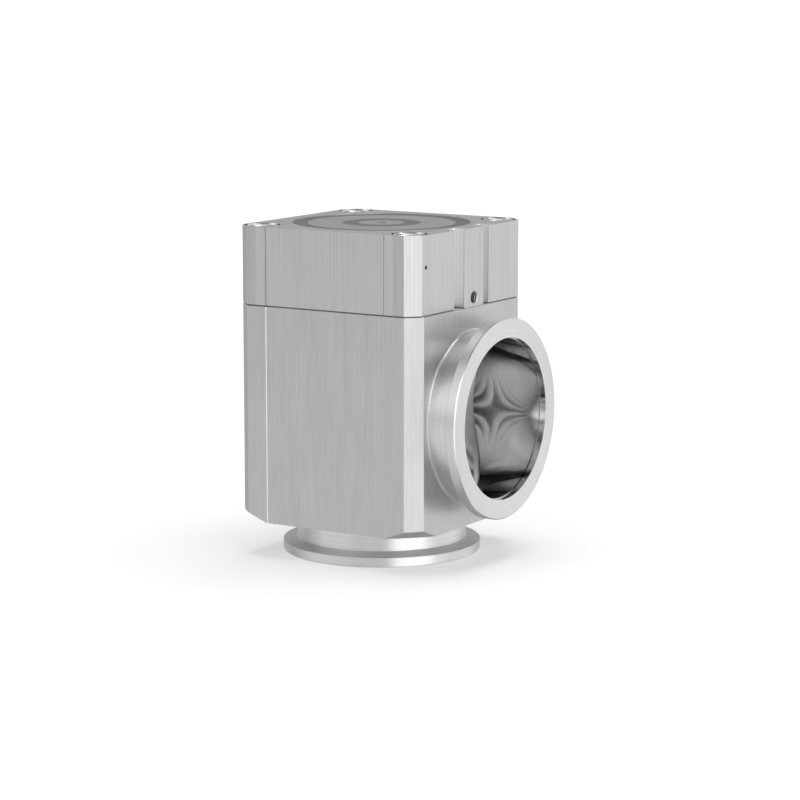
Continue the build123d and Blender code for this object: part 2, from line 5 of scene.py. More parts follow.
import bmesh
import bpy
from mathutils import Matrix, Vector


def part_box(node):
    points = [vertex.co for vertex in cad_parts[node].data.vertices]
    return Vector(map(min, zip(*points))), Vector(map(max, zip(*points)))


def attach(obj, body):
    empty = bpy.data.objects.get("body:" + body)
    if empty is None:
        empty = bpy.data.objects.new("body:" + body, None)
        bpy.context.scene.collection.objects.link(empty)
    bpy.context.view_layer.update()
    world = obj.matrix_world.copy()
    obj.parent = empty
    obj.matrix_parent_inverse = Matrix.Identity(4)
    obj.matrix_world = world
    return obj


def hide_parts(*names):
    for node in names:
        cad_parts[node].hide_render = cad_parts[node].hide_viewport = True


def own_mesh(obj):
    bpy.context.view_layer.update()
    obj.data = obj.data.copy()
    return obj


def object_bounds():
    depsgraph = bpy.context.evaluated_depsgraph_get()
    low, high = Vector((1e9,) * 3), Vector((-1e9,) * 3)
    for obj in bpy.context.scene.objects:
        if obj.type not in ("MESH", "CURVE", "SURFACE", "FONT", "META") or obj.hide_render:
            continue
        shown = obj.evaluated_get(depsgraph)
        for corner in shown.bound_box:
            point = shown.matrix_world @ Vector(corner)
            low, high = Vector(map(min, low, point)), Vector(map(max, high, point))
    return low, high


bl_info = {
    "name": "Vacuum angle valve",
    "version": (1, 0, 0),
    "blender": (4, 5, 0),
    "location": "View3D > Sidebar > Vacuum valve",
    "description": "Finishes a vacuum angle valve and sets up its studio",
    "category": "Object",
}

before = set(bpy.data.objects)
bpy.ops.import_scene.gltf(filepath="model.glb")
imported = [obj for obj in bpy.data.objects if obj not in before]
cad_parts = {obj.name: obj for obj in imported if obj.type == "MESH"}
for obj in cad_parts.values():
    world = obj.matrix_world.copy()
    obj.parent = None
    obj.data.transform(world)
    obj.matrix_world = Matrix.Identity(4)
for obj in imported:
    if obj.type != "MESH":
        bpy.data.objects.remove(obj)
cad_low, cad_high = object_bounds()

MM = 0.001

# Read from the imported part, in metres
bonnet_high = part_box("bonnet")[1]
body_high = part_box("body")[1]
bellows_low, bellows_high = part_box("bellows")
spring_low, spring_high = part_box("return_spring")
BLOCK_HALF = body_high.y
BLOCK_TOP = body_high.z
# The side port's face is as far out as its axis is high
LEG = body_high.x

# Block: its necks and flanges, and its bores with the recess in the side port
BLOCK_BOTTOM = 15.2 * MM
PANEL_HALF = 30.0 * MM
NECK_RADIUS = 37.2 * MM
NECK_FILLET = 0.6 * MM
RIM_WIDTH = 4.2 * MM
CONE_WIDTH = 2.0 * MM
MAIN_BORE_RADIUS = 43.5 * MM
PORT_RADIUS = 35.0 * MM
SIDE_BORE_START = 21.0 * MM
RECESS_STEP_X = 60.0 * MM

# Bonnet: its joint with the block, screws, grooves and pilot port
JOINT_GAP = 0.4 * MM
SCREW_PLACE = 37.2 * MM
SCREW_POCKET = 7.65 * MM
GROOVE_REACH = 18.0 * MM
# Band near the bonnet's corners, as distances from its middle, that is painted darker: painted reflection
CORNER_REFLECTION_STRIP = (PANEL_HALF + 5.0 * MM, BLOCK_HALF - 6.4 * MM)
PILOT_CENTRE = Vector((46.0, 1.45, 114.05)) * MM
PILOT_RADIUS = 2.5 * MM
PILOT_DEPTH = 7.0 * MM

# Radii of the printed rings on the label: the outer one runs to the plate's edge
OUTER_RING = 32.4 * MM
INNER_RING = (10.25 * MM, 16.9 * MM)

# Width over which one finish gives way to the next
SOFT = 0.1 * MM

# Lighter parts of the room as azimuth, elevation, half width and strength
ROOM_SIDES = (
    (-50, 8, 45, 0.62),
    (-21, 10, 34, 0.60),
    (6, 8, 24, 0.45),
    (10, 8, 45, 0.43),
    (40, 8, 45, 0.40),
    (70, 8, 45, 0.62),
    (130, 8, 45, 0.50),
    (-170, 8, 45, 0.37),
    (-110, 8, 45, 0.28),
    (-122, 45, 60, 0.60),
)
# Softboxes as name, azimuth, elevation, distance, width, height, watts and whether metal mirrors them:
# the fill lights the floor alone, so that a top seen from above keeps its grey
LAMPS = (
    ("key_softbox", -21, 18, 1.4, 1.2, 0.9, 2.0, True),
    ("top_softbox", 70, 80, 1.5, 1.1, 1.1, 6.5, True),
    ("floor_fill", 70, 80, 1.5, 1.1, 1.1, 6.5, False),
)
# Glow of the floor as the camera sees it near the valve and far off, with the two distances, and as
# polished metal reflects it, and the share of the room that metal sees mirrored in the floor
GLOW_NEAR = 0.38
GLOW_FAR = 1.0
GLOW_START = 0.1
GLOW_END = 3.0
GLOW_REFLECTED = 0.05
FLOOR_SHEEN = 0.85

# Camera fitted to the photo, with its focal length in pixels of the square frame
CAMERA_PLACE = Vector((636.99, -1010.27, 263.19)) * MM
CAMERA_VIEW = Vector((-0.52057, 0.83808, -0.16317))
FOCAL_PIXELS = 2750
FRAME_PIXELS = 800
SENSOR_WIDTH = 36.0

MATH = "ShaderNodeMath"
RANGE = "ShaderNodeMapRange"
MIX = "ShaderNodeMix"
VECTOR = "ShaderNodeVectorMath"
JOIN = "ShaderNodeCombineXYZ"


def linear(code):
    """Linear RGBA of an sRGB hex colour."""
    parts = [int(code[i : i + 2], 16) / 255 for i in (1, 3, 5)]
    return tuple(c / 12.92 if c <= 0.04045 else ((c + 0.055) / 1.055) ** 2.4 for c in parts) + (1.0,)


def result(node):
    """The output of a node that its settings leave in use."""
    return next(socket for socket in node.outputs if socket.enabled)


def add_node(tree, kind, inputs=None, **settings):
    """One node with its settings; an input takes a value, or a socket or node to link from."""
    made = tree.nodes.new(kind)
    for name, value in settings.items():
        setattr(made, name, value)
    for key, value in (inputs or {}).items():
        socket = next(s for i, s in enumerate(made.inputs) if s.enabled and key in (i, s.name))
        if isinstance(value, bpy.types.Node):
            value = result(value)
        if isinstance(value, bpy.types.NodeSocket):
            tree.links.new(value, socket)
        else:
            socket.default_value = value
    return made


def new_finish(name, **values):
    """Material with one Principled shader, whose sockets are set by name."""
    made = bpy.data.materials.new(name)
    made.use_nodes = True
    shader = made.node_tree.nodes["Principled BSDF"]
    for key, value in values.items():
        shader.inputs[key.replace("_", " ")].default_value = value
    return made, made.node_tree, shader


def link_finish(tree, shader, colour, rough, normal=None):
    """Joins the ends of a finish's pattern to its shader."""
    for name, source in (("Base Color", colour), ("Roughness", rough), ("Normal", normal)):
        if source is not None:
            tree.links.new(result(source), shader.inputs[name])


def grain(tree, vector, sizes, detail=2.0):
    """Noise whose features measure sizes millimetres along the vector's three axes."""
    steps = tuple(1 / (size * MM) for size in sizes)
    spread = add_node(tree, VECTOR, {0: vector, 1: steps}, operation="MULTIPLY")
    return add_node(tree, "ShaderNodeTexNoise", {"Vector": spread, "Scale": 1.0, "Detail": detail})


def place(tree):
    """Object coordinates as (vector, x, y, z)."""
    point = add_node(tree, "ShaderNodeTexCoord").outputs["Object"]
    parts = add_node(tree, "ShaderNodeSeparateXYZ", {0: point}).outputs
    return point, parts[0], parts[1], parts[2]


def axis_radius(tree, point, centre, across):
    """Distance from a line: across is 1 on the two axes that are measured and 0 along the line."""
    moved = add_node(tree, VECTOR, {0: point, 1: centre}, operation="SUBTRACT")
    flat = add_node(tree, VECTOR, {0: moved, 1: across}, operation="MULTIPLY")
    return add_node(tree, VECTOR, {0: flat}, operation="LENGTH").outputs["Value"]


def between(tree, value, low, high, soft):
    """One from low to high, falling to zero within soft beyond each."""
    rise = add_node(tree, RANGE, {"Value": value, "From Min": low - soft, "From Max": low})
    fall = add_node(tree, RANGE, {"Value": value, "From Min": high + soft, "From Max": high})
    return add_node(tree, MATH, {0: rise, 1: fall}, operation="MULTIPLY")


def shaded(tree, colour, tone):
    """The colour darkened or lightened by a tone about one."""
    grey = add_node(tree, JOIN, {0: tone, 1: tone, 2: tone})
    return add_node(
        tree, MIX, {"Factor": 1.0, "A": colour, "B": grey}, data_type="RGBA", blend_type="MULTIPLY"
    )


def assign(material, *names):
    """Gives the material to CAD nodes."""
    for name in names:
        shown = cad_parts[name]
        if shown.material_slots:
            for material_slot in shown.material_slots:
                material_slot.material = material
        else:
            shown.data.materials.append(material)


def mesh_piece(name, material, body, make):
    """Mesh object filled by make(bmesh), smooth by angle, riding on a body."""
    data = bpy.data.meshes.new(name)
    build = bmesh.new()
    make(build)
    bmesh.ops.recalc_face_normals(build, faces=build.faces)
    build.to_mesh(data)
    build.free()
    made = bpy.data.objects.new(name, data)
    bpy.context.scene.collection.objects.link(made)
    data.materials.append(material)
    for polygon in data.polygons:
        polygon.use_smooth = True
    data.set_sharp_from_angle(angle=math.radians(35))
    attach(made, body)
    return made


def tube_rings(build, rings, closed=False):
    """Skins a list of rings of points; the ends are capped unless the rings close on themselves."""
    made = [[build.verts.new(point) for point in ring] for ring in rings]
    pairs = list(zip(made, made[1:] + made[:1])) if closed else list(zip(made, made[1:]))
    for first, second in pairs:
        for i in range(len(first)):
            j = (i + 1) % len(first)
            build.faces.new((first[i], first[j], second[j], second[i]))
    if not closed:
        build.faces.new(made[0])
        build.faces.new(list(reversed(made[-1])))


def toward(azimuth, elevation):
    """Unit vector to a point of the room, from its azimuth about +X and its elevation in degrees."""
    flat = math.cos(math.radians(elevation))
    return Vector(
        (
            flat * math.cos(math.radians(azimuth)),
            flat * math.sin(math.radians(azimuth)),
            math.sin(math.radians(elevation)),
        )
    )


class ValveFinish(bpy.types.PropertyGroup):
    """Colours of the valve's finishes."""

    block: bpy.props.FloatVectorProperty(
        name="Block",
        description="Clear anodised block",
        subtype="COLOR",
        size=4,
        default=linear("#F5F5F5"),
    )
    bonnet: bpy.props.FloatVectorProperty(
        name="Bonnet",
        description="Clear anodised bonnet",
        subtype="COLOR",
        size=4,
        default=linear("#E2E2E2"),
    )
    plate: bpy.props.FloatVectorProperty(
        name="Label plate",
        description="Satin label plate",
        subtype="COLOR",
        size=4,
        default=linear("#CCCCCC"),
    )
    plate_ring: bpy.props.FloatVectorProperty(
        name="Label rings",
        description="Printed rings on the label",
        subtype="COLOR",
        size=4,
        default=linear("#999999"),
    )


class ValveSizes(bpy.types.PropertyGroup):
    """Sizes of the pieces that are meshed here."""

    thread_pitch: bpy.props.FloatProperty(
        name="Pilot thread pitch",
        description="Pitch of the pilot port's thread",
        unit="LENGTH",
        default=0.8 * MM,
    )
    bellows_skin: bpy.props.FloatProperty(
        name="Bellows skin",
        description="Thickness of a bellows plate",
        unit="LENGTH",
        default=0.5 * MM,
    )
    bellows_inner: bpy.props.FloatProperty(
        name="Bellows inner radius",
        description="Radius at the bottom of the bellows' folds",
        unit="LENGTH",
        default=28.5 * MM,
    )
    bellows_folds: bpy.props.IntProperty(
        name="Bellows folds",
        description="Number of folds in the bellows",
        default=36,
    )


class VALVE_OT_block(bpy.types.Operator):
    """Finishes the machined and anodised block"""

    bl_idname = "valve.block"
    bl_label = "Block"

    def execute(self, context):
        colours = context.scene.valve_finish
        # Anodised aluminium, brushed upright on the flats, turned on the necks, honed in the bores:
        # streaked soft reflections outside, smeared mirror-like ones inside
        made, tree, shader = new_finish("Anodised aluminium, brushed", Metallic=1.0, Anisotropic=0.6)
        point, x, y, z = place(tree)
        from_main = axis_radius(tree, point, (0, 0, 0), (1, 1, 0))
        from_side = axis_radius(tree, point, (0, 0, LEG), (0, 1, 1))
        below = between(tree, z, -MM, BLOCK_BOTTOM - SOFT, SOFT)
        beside = between(tree, x, BLOCK_HALF + SOFT, 2 * BLOCK_HALF, SOFT)
        in_main = between(tree, from_main, 0, MAIN_BORE_RADIUS + SOFT, SOFT)
        in_main = add_node(tree, MATH, {0: in_main, 1: below}, operation="SUBTRACT", use_clamp=True)
        round_port = between(tree, from_side, 0, PORT_RADIUS + SOFT, SOFT)
        past_main = between(tree, x, SIDE_BORE_START, 2 * BLOCK_HALF, MM)
        in_side = add_node(tree, MATH, {0: round_port, 1: past_main}, operation="MULTIPLY")
        honed = add_node(tree, MATH, {0: in_side, 1: in_main}, operation="MAXIMUM")
        about_side = add_node(tree, MATH, {0: beside, 1: in_side}, operation="MAXIMUM")
        necks = add_node(tree, MATH, {0: below, 1: beside}, operation="MAXIMUM")
        turned = add_node(tree, MATH, {0: necks, 1: honed}, operation="MAXIMUM")
        # The real brushing is about 0.1 mm wide, too fine to show, so it is drawn 0.5 mm wide
        fine_lines = grain(tree, point, (0.5, 0.5, 14))
        long_lines = grain(tree, point, (1.1, 1.1, 45))
        brushed = add_node(tree, MIX, {"Factor": 0.4, "A": fine_lines, "B": long_lines}, data_type="FLOAT")
        # The turning lines are drawn 0.5 mm wide as well
        turning = (0.5, 0.5, 0.5)
        about_z = grain(tree, add_node(tree, JOIN, {0: from_main, 1: from_main, 2: z}), turning)
        about_x = grain(tree, add_node(tree, JOIN, {0: from_side, 1: from_side, 2: x}), turning)
        rings = add_node(tree, MIX, {"Factor": about_side, "A": about_z, "B": about_x}, data_type="FLOAT")
        ringed = add_node(tree, MATH, {0: turned, 1: in_main}, operation="SUBTRACT", use_clamp=True)
        lines = add_node(tree, MIX, {"Factor": ringed, "A": brushed, "B": rings}, data_type="FLOAT")
        cloud = grain(tree, point, (9, 9, 24), 1.0)
        tone = add_node(tree, MATH, {0: lines, 1: 0.36, 2: 0.82}, operation="MULTIPLY_ADD")
        tone = add_node(tree, MATH, {0: cloud, 1: 0.10, 2: tone}, operation="MULTIPLY_ADD")
        tone = add_node(tree, MATH, {0: tone, 1: 0.05}, operation="SUBTRACT")
        # The flats are etched longer before anodising, so they are duller than the turned surfaces
        flats = add_node(tree, RANGE, {"Value": turned, "To Min": 0.82, "To Max": 1.0})
        tone = add_node(tree, MATH, {0: tone, 1: flats}, operation="MULTIPLY")
        # The clamps have dulled the cones behind the flanges, and the cones are also painted darker:
        # painted shade behind the flange rims
        cone = (NECK_RADIUS + NECK_FILLET, BLOCK_HALF, 0.3 * MM)
        low_level = between(tree, z, RIM_WIDTH - SOFT, RIM_WIDTH + CONE_WIDTH, SOFT / 2)
        low_cone = {0: low_level, 1: between(tree, from_main, *cone)}
        low_cone = add_node(tree, MATH, low_cone, operation="MULTIPLY")
        rim_back = LEG - RIM_WIDTH
        side_level = between(tree, x, rim_back - CONE_WIDTH, rim_back + SOFT, SOFT / 2)
        side_cone = {0: side_level, 1: between(tree, from_side, *cone)}
        side_cone = add_node(tree, MATH, side_cone, operation="MULTIPLY")
        cones = add_node(tree, MATH, {0: low_cone, 1: side_cone}, operation="MAXIMUM")
        tone = add_node(tree, MATH, {0: cones, 1: -0.16, 2: tone}, operation="MULTIPLY_ADD")
        # A painted highlight, a thin bright line, lies where each flat panel starts
        reach = add_node(tree, MATH, {0: x}, operation="ABSOLUTE")
        line = between(tree, reach, PANEL_HALF - 0.25 * MM, PANEL_HALF + SOFT / 2, SOFT / 2)
        panel_edge_highlight = add_node(tree, MATH, {0: line, 1: turned}, operation="SUBTRACT", use_clamp=True)
        tone = add_node(tree, MATH, {0: panel_edge_highlight, 1: 0.18, 2: tone}, operation="MULTIPLY_ADD")
        # The main bore's colour is lifted as painted light, for the light that reaches it only after many
        # reflections, and the honing strokes leave upright stripes
        tone = add_node(tree, MATH, {0: in_main, 1: 0.12, 2: tone}, operation="MULTIPLY_ADD")
        stripes = add_node(tree, MATH, {0: brushed, 1: 0.5}, operation="SUBTRACT")
        stripes = add_node(tree, MATH, {0: stripes, 1: in_main}, operation="MULTIPLY")
        tone = add_node(tree, MATH, {0: stripes, 1: 0.8, 2: tone}, operation="MULTIPLY_ADD")
        # The recess's small step is painted darker: painted shade that hides the bright edge it would show
        step = between(tree, x, RECESS_STEP_X - SOFT, RECESS_STEP_X + SOFT, SOFT / 5)
        step = add_node(tree, MATH, {0: step, 1: in_side}, operation="MULTIPLY")
        tone = add_node(tree, MATH, {0: step, 1: -0.5, 2: tone}, operation="MULTIPLY_ADD")
        rough = add_node(tree, MIX, {"Factor": turned, "A": 0.36, "B": 0.26}, data_type="FLOAT")
        rough = add_node(tree, MATH, {0: lines, 1: 0.08, 2: rough}, operation="MULTIPLY_ADD")
        rough = add_node(tree, MIX, {"Factor": cones, "A": rough, "B": 0.46}, data_type="FLOAT")
        rough = add_node(tree, MIX, {"Factor": in_main, "A": rough, "B": 0.16}, data_type="FLOAT")
        rough = add_node(tree, MIX, {"Factor": in_side, "A": rough, "B": 0.08}, data_type="FLOAT")
        relief = {"Height": lines, "Strength": 0.12, "Distance": 0.02 * MM}
        normal = add_node(tree, "ShaderNodeBump", relief)
        link_finish(tree, shader, shaded(tree, colours.block, tone), rough, normal)
        # Reflections smear across the brushing. On turned surfaces they smear along the axis, with a lean
        # that turns it to a radial smear on the flanges' faces
        facing = add_node(tree, "ShaderNodeNewGeometry").outputs["Normal"]
        smear = add_node(tree, VECTOR, {0: facing, 1: (0, 0, 1)}, operation="CROSS_PRODUCT")
        # The small addition keeps a direction where a face looks straight up
        smear = add_node(tree, VECTOR, {0: smear, 1: (0.02, 0, 0)}, operation="ADD")
        lean = -0.6 / NECK_RADIUS
        up = {0: point, 1: (lean, lean, 0), 2: (0, 0, 1)}
        up = add_node(tree, VECTOR, up, operation="MULTIPLY_ADD")
        out = {0: point, 1: (0, lean, lean), 2: (1, 0, -lean * LEG)}
        out = add_node(tree, VECTOR, out, operation="MULTIPLY_ADD")
        smear = add_node(tree, MIX, {"Factor": turned, "A": smear, "B": up}, data_type="VECTOR")
        smear = add_node(tree, MIX, {"Factor": about_side, "A": smear, "B": out}, data_type="VECTOR")
        tree.links.new(result(smear), shader.inputs["Tangent"])
        assign(made, "body")
        return {"FINISHED"}


class VALVE_OT_bonnet(bpy.types.Operator):
    """Finishes the bonnet"""

    bl_idname = "valve.bonnet"
    bl_label = "Bonnet"

    def execute(self, context):
        colours = context.scene.valve_finish
        # Anodised aluminium, drawn and bead blasted: an even soft sheen with a trace of the die's
        # upright lines
        made, tree, shader = new_finish("Anodised aluminium, blasted", Metallic=1.0)
        point, x, y, z = place(tree)
        lines = grain(tree, point, (0.6, 0.6, 60))
        # The blasting is finer than this; 0.6 mm is the finest that shows
        speck = grain(tree, point, (0.6, 0.6, 0.6), 3.0)
        tone = add_node(tree, MATH, {0: lines, 1: 0.34, 2: 0.79}, operation="MULTIPLY_ADD")
        tone = add_node(tree, MATH, {0: speck, 1: 0.06, 2: tone}, operation="MULTIPLY_ADD")
        # Painted shade fills the joint with the block, which the rail alone hides
        joint = between(tree, z, BLOCK_TOP - MM, BLOCK_TOP + JOINT_GAP, SOFT / 5)
        open_joint = between(tree, x, -BLOCK_HALF, BLOCK_HALF - SOFT, SOFT / 10)
        joint = add_node(tree, MATH, {0: joint, 1: open_joint}, operation="MULTIPLY")
        tone = add_node(tree, MATH, {0: joint, 1: -0.75, 2: tone}, operation="MULTIPLY_ADD")
        # A painted shadow, a dark line, lies where each flat panel starts, and a strip along the corners is
        # painted darker as a painted reflection
        reach = add_node(tree, MATH, {0: x}, operation="ABSOLUTE")
        line = between(tree, reach, PANEL_HALF - 0.35 * MM, PANEL_HALF + SOFT / 2, SOFT / 2)
        tone = add_node(tree, MATH, {0: line, 1: -0.55, 2: tone}, operation="MULTIPLY_ADD")
        corner_painted_reflection = between(tree, reach, *CORNER_REFLECTION_STRIP, SOFT)
        tone = add_node(tree, MATH, {0: corner_painted_reflection, 1: -0.09, 2: tone}, operation="MULTIPLY_ADD")
        # The grooves and the screws' pockets are painted lighter: painted light on walls that little of the
        # room reaches. The pockets are milled after the blasting, so they are smoother
        corner = add_node(tree, VECTOR, {0: point}, operation="ABSOLUTE")
        from_screw = axis_radius(tree, corner, (SCREW_PLACE, SCREW_PLACE, 0), (1, 1, 0))
        pocket = between(tree, from_screw, 0, SCREW_POCKET + SOFT / 2, SOFT / 5)
        groove_depth = between(tree, x, PANEL_HALF, BLOCK_HALF - 0.8 * MM, SOFT)
        groove_side = between(tree, y, -GROOVE_REACH, GROOVE_REACH, MM)
        groove = add_node(tree, MATH, {0: groove_depth, 1: groove_side}, operation="MULTIPLY")
        under = between(tree, z, BLOCK_TOP + JOINT_GAP, bonnet_high.z - SOFT, SOFT / 2)
        lit_walls_painted = add_node(tree, MATH, {0: pocket, 1: groove}, operation="MAXIMUM")
        lit_walls_painted = add_node(tree, MATH, {0: lit_walls_painted, 1: under}, operation="MULTIPLY")
        tone = add_node(tree, MATH, {0: lit_walls_painted, 1: 0.28, 2: tone}, operation="MULTIPLY_ADD")
        rough = add_node(tree, MATH, {0: speck, 1: 0.10, 2: 0.36}, operation="MULTIPLY_ADD")
        rough = add_node(tree, MIX, {"Factor": pocket, "A": rough, "B": 0.16}, data_type="FLOAT")
        relief = {"Height": speck, "Strength": 0.08, "Distance": 0.02 * MM}
        normal = add_node(tree, "ShaderNodeBump", relief)
        link_finish(tree, shader, shaded(tree, colours.bonnet, tone), rough, normal)
        assign(made, "bonnet")
        return {"FINISHED"}


class VALVE_OT_label(bpy.types.Operator):
    """Finishes the round label plate with its two printed rings"""

    bl_idname = "valve.label"
    bl_label = "Label plate"

    def execute(self, context):
        colours = context.scene.valve_finish
        # Anodised plate, printed: satin, with two rings of a darker grey that have thin dark outlines
        made, tree, shader = new_finish("Anodised plate, printed", Metallic=1.0)
        point, x, y, z = place(tree)
        radius = axis_radius(tree, point, (0, 0, 0), (1, 1, 0))
        outline = 0.35 * MM
        outer = between(tree, radius, OUTER_RING, 2 * OUTER_RING, SOFT)
        inner = between(tree, radius, *INNER_RING, SOFT)
        ring = add_node(tree, MATH, {0: outer, 1: inner}, operation="MAXIMUM")
        border = None
        for at in (OUTER_RING, *INNER_RING):
            line = between(tree, radius, at - outline / 2, at + outline / 2, SOFT)
            border = add_node(tree, MATH, {0: border, 1: line}, operation="MAXIMUM") if border else line
        speck = grain(tree, point, (0.5, 0.5, 0.5))
        smear = grain(tree, point, (9, 9, 9), 3.0)
        printed = {"Factor": ring, "A": colours.plate, "B": colours.plate_ring}
        colour = add_node(tree, MIX, printed, data_type="RGBA")
        tone = add_node(tree, MATH, {0: speck, 1: 0.12, 2: 0.88}, operation="MULTIPLY_ADD")
        tone = add_node(tree, MATH, {0: smear, 1: 0.16, 2: tone}, operation="MULTIPLY_ADD")
        tone = add_node(tree, MATH, {0: border, 1: -0.25, 2: tone}, operation="MULTIPLY_ADD")
        rough = add_node(tree, MIX, {"Factor": ring, "A": 0.36, "B": 0.46}, data_type="FLOAT")
        rough = add_node(tree, MATH, {0: speck, 1: 0.10, 2: rough}, operation="MULTIPLY_ADD")
        link_finish(tree, shader, shaded(tree, colour, tone), rough)
        assign(made, "top_label")
        return {"FINISHED"}


def speckled(name, dark, light, smooth, coarse, size, metallic=1.0, ior=None):
    """Finish that varies between two colours and two roughnesses in specks of a size in millimetres."""
    made, tree, shader = new_finish(name, Metallic=metallic)
    if ior:
        shader.inputs["IOR"].default_value = ior
    point = place(tree)[0]
    speck = grain(tree, point, (size, size, size), 3.0)
    share = add_node(tree, RANGE, {"Value": speck, "From Min": 0.3, "From Max": 0.7})
    colour = add_node(tree, MIX, {"Factor": share, "A": linear(dark), "B": linear(light)}, data_type="RGBA")
    rough = add_node(tree, MIX, {"Factor": share, "A": smooth, "B": coarse}, data_type="FLOAT")
    link_finish(tree, shader, colour, rough)
    return made


def turned_about_z(name, dark, light, smooth, coarse, size, along):
    """Finish with fine rings about the valve's axis; along is 1 where the lines also follow the height."""
    made, tree, shader = new_finish(name, Metallic=1.0)
    point, x, y, z = place(tree)
    radius = axis_radius(tree, point, (0, 0, 0), (1, 1, 0))
    rise = add_node(tree, MATH, {0: z, 1: along}, operation="MULTIPLY")
    rings = grain(tree, add_node(tree, JOIN, {0: radius, 1: radius, 2: rise}), (size, size, size))
    share = add_node(tree, RANGE, {"Value": rings, "From Min": 0.3, "From Max": 0.7})
    colour = add_node(tree, MIX, {"Factor": share, "A": linear(dark), "B": linear(light)}, data_type="RGBA")
    rough = add_node(tree, MIX, {"Factor": share, "A": smooth, "B": coarse}, data_type="FLOAT")
    link_finish(tree, shader, colour, rough)
    return made


class VALVE_OT_screws(bpy.types.Operator):
    """Finishes the stainless screws, nut and washers"""

    bl_idname = "valve.screws"
    bl_label = "Screws"

    def execute(self, context):
        # Stainless steel, cold headed and tumbled: bright, with sharp glints
        made = speckled("Stainless steel, tumbled", "#DAD9D6", "#F0EFEC", 0.07, 0.15, 1.2)
        names = [f"cap_screw_{n}" for n in range(1, 5)] + [f"bellows_screw_{n}" for n in range(1, 7)]
        assign(made, *names, "poppet_screw", "rod_nut", "spring_seat")
        return {"FINISHED"}


class VALVE_OT_inner_metal(bpy.types.Operator):
    """Finishes the turned parts inside"""

    bl_idname = "valve.inner_metal"
    bl_label = "Inner metal parts"

    def execute(self, context):
        # Aluminium, turned: fine rings about the axis
        made = turned_about_z("Aluminium, turned", "#C4C5C5", "#DCDDDD", 0.24, 0.36, 0.4, 1.0)
        assign(made, "end_cover", "poppet", "piston")
        # Stainless steel, ground and polished: the rod, and the clamp rings of the bellows
        made = turned_about_z("Stainless steel, ground", "#BFBEBB", "#D6D5D2", 0.18, 0.30, 0.3, 1.0)
        assign(made, "rod", "bellows_foot", "bellows_flange")
        # Bearing bronze, bored: warm and even
        made = speckled("Bearing bronze, bored", "#A8834A", "#C79E5E", 0.28, 0.45, 0.5)
        assign(made, "rod_bush")
        # Bronze, sintered from beads of 0.3 mm and tarnished: dull grey brown
        made = speckled("Bronze, sintered", "#4E4A44", "#77716A", 0.5, 0.7, 0.3)
        assign(made, "vent_filter")
        return {"FINISHED"}


class VALVE_OT_seals(bpy.types.Operator):
    """Finishes the rubber seals and the plastic guide ring"""

    bl_idname = "valve.seals"
    bl_label = "Seals"

    def execute(self, context):
        # Fluoroelastomer, moulded: near black and matt, a little lighter where it has been handled
        made = speckled("Fluoroelastomer, moulded", "#1A1A1B", "#2C2C2D", 0.45, 0.65, 0.8, 0.0, 1.5)
        assign(made, "bonnet_seal", "bellows_seal", "seat_seal", "piston_seal", "rod_seal")
        # Filled bearing plastic, machined: brown grey and waxy
        made = speckled("Filled bearing plastic, machined", "#4A3F33", "#5E5142", 0.4, 0.6, 0.5, 0.0, 1.45)
        assign(made, "guide_ring")
        return {"FINISHED"}


class VALVE_OT_bellows(bpy.types.Operator):
    """Meshes the bellows at one length; the real bellows shortens as the poppet lifts"""

    bl_idname = "valve.bellows"
    bl_label = "Bellows"

    def execute(self, context):
        # Stainless steel, pressed into thin plates and welded: bright and satin, with fine rings from
        # the press
        made = turned_about_z("Stainless steel, pressed", "#E6E6E5", "#F4F4F3", 0.28, 0.42, 0.5, 0.0)
        sizes = context.scene.valve_sizes
        skin = sizes.bellows_skin
        inner = sizes.bellows_inner
        outer = bellows_high.x - skin / 2
        low, high = bellows_low.z, bellows_high.z
        steps = 6
        sides = 72

        def centre_line():
            count = sizes.bellows_folds * steps
            for k in range(count + 1):
                share = k / steps
                wave = (1 - math.cos(2 * math.pi * share)) / 2
                # The outer folds are broad and the gaps between them narrow
                wave = 1 - (1 - wave) ** 1.6
                yield inner + (outer - inner) * wave, low + (high - low) * k / count

        line = list(centre_line())

        def build_skin(build):
            section = [(r + skin / 2, z) for r, z in line] + [(r - skin / 2, z) for r, z in reversed(line)]
            turns = [2 * math.pi * s / sides for s in range(sides)]
            rings_of = [[(r * math.cos(turn), r * math.sin(turn), z) for r, z in section] for turn in turns]
            tube_rings(build, rings_of, closed=True)

        piece = mesh_piece("bellows_plates", made, "housing", build_skin)
        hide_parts("bellows")
        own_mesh(piece)
        return {"FINISHED"}


class VALVE_OT_spring(bpy.types.Operator):
    """Meshes the return spring at one length; the real spring shortens as the piston lifts"""

    bl_idname = "valve.spring"
    bl_label = "Return spring"

    def execute(self, context):
        # Spring steel, drawn and shot peened: dark, with a fine even sparkle. The retaining ring is of the
        # same steel
        made = speckled("Spring steel, drawn", "#6E6D6A", "#8C8B88", 0.28, 0.42, 0.3)
        assign(made, "retaining_ring")
        low, high = spring_low.z, spring_high.z
        wire = 1.25 * MM
        radius = 12.3 * MM
        turns = 7
        dead = 0.9
        sides = 12
        per_turn = 36

        def height(share):
            """Closed coils at both ends and even pitch between them."""
            turn = share * turns
            floor, roof = low + wire, high - wire
            closed = 2.05 * wire
            if turn < dead:
                return floor + closed * turn / dead
            if turn > turns - dead:
                return roof - closed * (turns - turn) / dead
            free = (turn - dead) / (turns - 2 * dead)
            return floor + closed + (roof - floor - 2 * closed) * free

        def build_coil(build):
            rings_of = []
            count = turns * per_turn
            for k in range(count + 1):
                turn = 2 * math.pi * k / per_turn
                z = height(k / count)
                out = Vector((math.cos(turn), math.sin(turn), 0))
                ring = []
                for s in range(sides):
                    around = 2 * math.pi * s / sides
                    reach = radius + wire * math.cos(around)
                    up = min(max(z + wire * math.sin(around), low), high)
                    ring.append((out.x * reach, out.y * reach, up))
                rings_of.append(ring)
            tube_rings(build, rings_of)

        piece = mesh_piece("spring_coil", made, "housing", build_coil)
        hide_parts("return_spring")
        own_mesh(piece)
        return {"FINISHED"}


